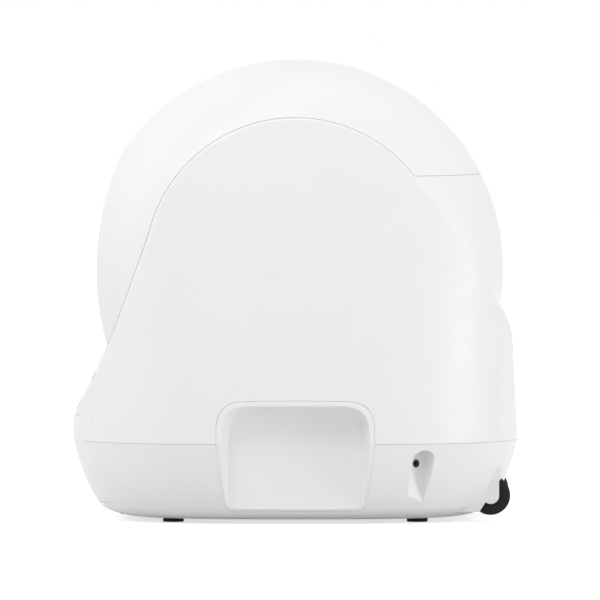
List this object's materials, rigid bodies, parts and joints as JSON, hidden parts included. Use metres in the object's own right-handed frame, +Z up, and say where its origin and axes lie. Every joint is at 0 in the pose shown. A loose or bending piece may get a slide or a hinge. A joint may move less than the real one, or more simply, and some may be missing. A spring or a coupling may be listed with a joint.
{
  "type": "self-cleaning litter box",
  "caption": "Floor-standing litter box with a lift-off globe hood between arched side covers, a driven sifting drum inside, a pull-out waste drawer, side hand recesses and transport wheels.",
  "frame": {"origin": "on the floor, under the middle of the bounding box", "axes": "+Z up, -Y towards the front where the cat goes in, +X to the side with the supply socket"},
  "size_m": [0.4946, 0.556, 0.5735],
  "materials": {
    "white_plastic": "satin white",
    "grey_plastic": "mid grey",
    "dark_plastic": "dark",
    "gloss_black": "gloss black",
    "black_rubber": "matt black",
    "wheel_tyre": "matt black",
    "grey_liner": "soft grey",
    "gear_plastic": "grey",
    "steel": "plain",
    "cell_aluminium": "plain",
    "circuit_board": "green solder mask"
  },
  "bodies": {
    "housing": {"base_tray": "white_plastic", "side_cover_left": "white_plastic", "side_cover_right": "white_plastic", "front_panel": "white_plastic", "rear_panel": "white_plastic", "rear_shell": "white_plastic", "side_frame_left": "white_plastic", "side_frame_right": "white_plastic", "hand_grip_left": "white_plastic", "hand_grip_right": "white_plastic", "drum_cradle": "white_plastic", "gear_motor": "dark_plastic", "dc_jack": "dark_plastic", "control_panel": "gloss_black", "foot_front_left": "black_rubber", "foot_front_right": "black_rubber", "foot_rear_left": "black_rubber", "foot_rear_right": "black_rubber", "motor_bracket": "steel", "roller_pin_front_left": "steel", "roller_pin_front_right": "steel", "roller_pin_rear_left": "steel", "roller_pin_rear_right": "steel", "wheel_axle_left": "steel", "wheel_axle_right": "steel", "load_cell_front_left": "cell_aluminium", "load_cell_front_right": "cell_aluminium", "load_cell_rear_left": "cell_aluminium", "load_cell_rear_right": "cell_aluminium", "control_board": "circuit_board", "main_board": "circuit_board"},
    "hood": {"hood": "white_plastic", "entrance_trim": "grey_plastic"},
    "drawer": {"drawer_front": "white_plastic", "drawer_bin": "grey_plastic", "bag_frame": "dark_plastic"},
    "drum": {"drum_shell": "grey_plastic", "drum_mouth_trim": "grey_liner", "drum_liner": "grey_liner", "sieve_screen": "white_plastic", "ring_gear": "gear_plastic"},
    "pinion": {"drive_pinion": "gear_plastic"},
    "power_button": {"power_button": "grey_plastic"},
    "cycle_button": {"cycle_button": "grey_plastic"},
    "wheel_left": {"wheel_tyre_left": "wheel_tyre", "wheel_hub_left": "grey_plastic"},
    "wheel_right": {"wheel_tyre_right": "wheel_tyre", "wheel_hub_right": "grey_plastic"},
    "roller_front_left": {"support_roller_front_left": "black_rubber"},
    "roller_front_right": {"support_roller_front_right": "black_rubber"},
    "roller_rear_left": {"support_roller_rear_left": "black_rubber"},
    "roller_rear_right": {"support_roller_rear_right": "black_rubber"}
  },
  "joints": [
    {"name": "hood_lift", "type": "slide", "parent": "housing", "child": "hood", "axis": [0, 0, 1], "range_m": [0, 0.3]},
    {"name": "drawer_pull", "type": "slide", "parent": "housing", "child": "drawer", "axis": [0, -1, 0], "range_m": [0, 0.3]},
    {"name": "drum_turn", "type": "hinge", "parent": "housing", "child": "drum", "pos_m": [0, 0, 0.335], "axis": [0, 1, 0], "continuous": true},
    {"name": "pinion_turn", "type": "hinge", "parent": "housing", "child": "pinion", "pos_m": [0, 0.1903, 0.185], "axis": [0, 1, 0], "continuous": true},
    {"name": "roller_turn_front_left", "type": "hinge", "parent": "housing", "child": "roller_front_left", "pos_m": [-0.11224, -0.105, 0.19135], "axis": [0, 1, 0], "continuous": true},
    {"name": "roller_turn_front_right", "type": "hinge", "parent": "housing", "child": "roller_front_right", "pos_m": [0.11224, -0.105, 0.19135], "axis": [0, 1, 0], "continuous": true},
    {"name": "roller_turn_rear_left", "type": "hinge", "parent": "housing", "child": "roller_rear_left", "pos_m": [-0.11224, 0.105, 0.19135], "axis": [0, 1, 0], "continuous": true},
    {"name": "roller_turn_rear_right", "type": "hinge", "parent": "housing", "child": "roller_rear_right", "pos_m": [0.11224, 0.105, 0.19135], "axis": [0, 1, 0], "continuous": true},
    {"name": "wheel_turn_left", "type": "hinge", "parent": "housing", "child": "wheel_left", "pos_m": [-0.115, 0.2434, 0.0331], "axis": [1, 0, 0], "continuous": true},
    {"name": "wheel_turn_right", "type": "hinge", "parent": "housing", "child": "wheel_right", "pos_m": [0.115, 0.2434, 0.0331], "axis": [1, 0, 0], "continuous": true},
    {"name": "power_button_press", "type": "slide", "parent": "housing", "child": "power_button", "axis": [0, 0.8988, -0.4385], "range_m": [0, 0.0015], "stiffness_N_per_m": 400},
    {"name": "cycle_button_press", "type": "slide", "parent": "housing", "child": "cycle_button", "axis": [0, 0.8988, -0.4385], "range_m": [0, 0.0015], "stiffness_N_per_m": 400}
  ],
  "couplings": [
    {"joint": "pinion_turn", "follows": "drum_turn", "ratio": -4},
    {"joint": "roller_turn_front_left", "follows": "drum_turn", "ratio": -12},
    {"joint": "roller_turn_front_right", "follows": "drum_turn", "ratio": -12},
    {"joint": "roller_turn_rear_left", "follows": "drum_turn", "ratio": -12},
    {"joint": "roller_turn_rear_right", "follows": "drum_turn", "ratio": -12}
  ]
}
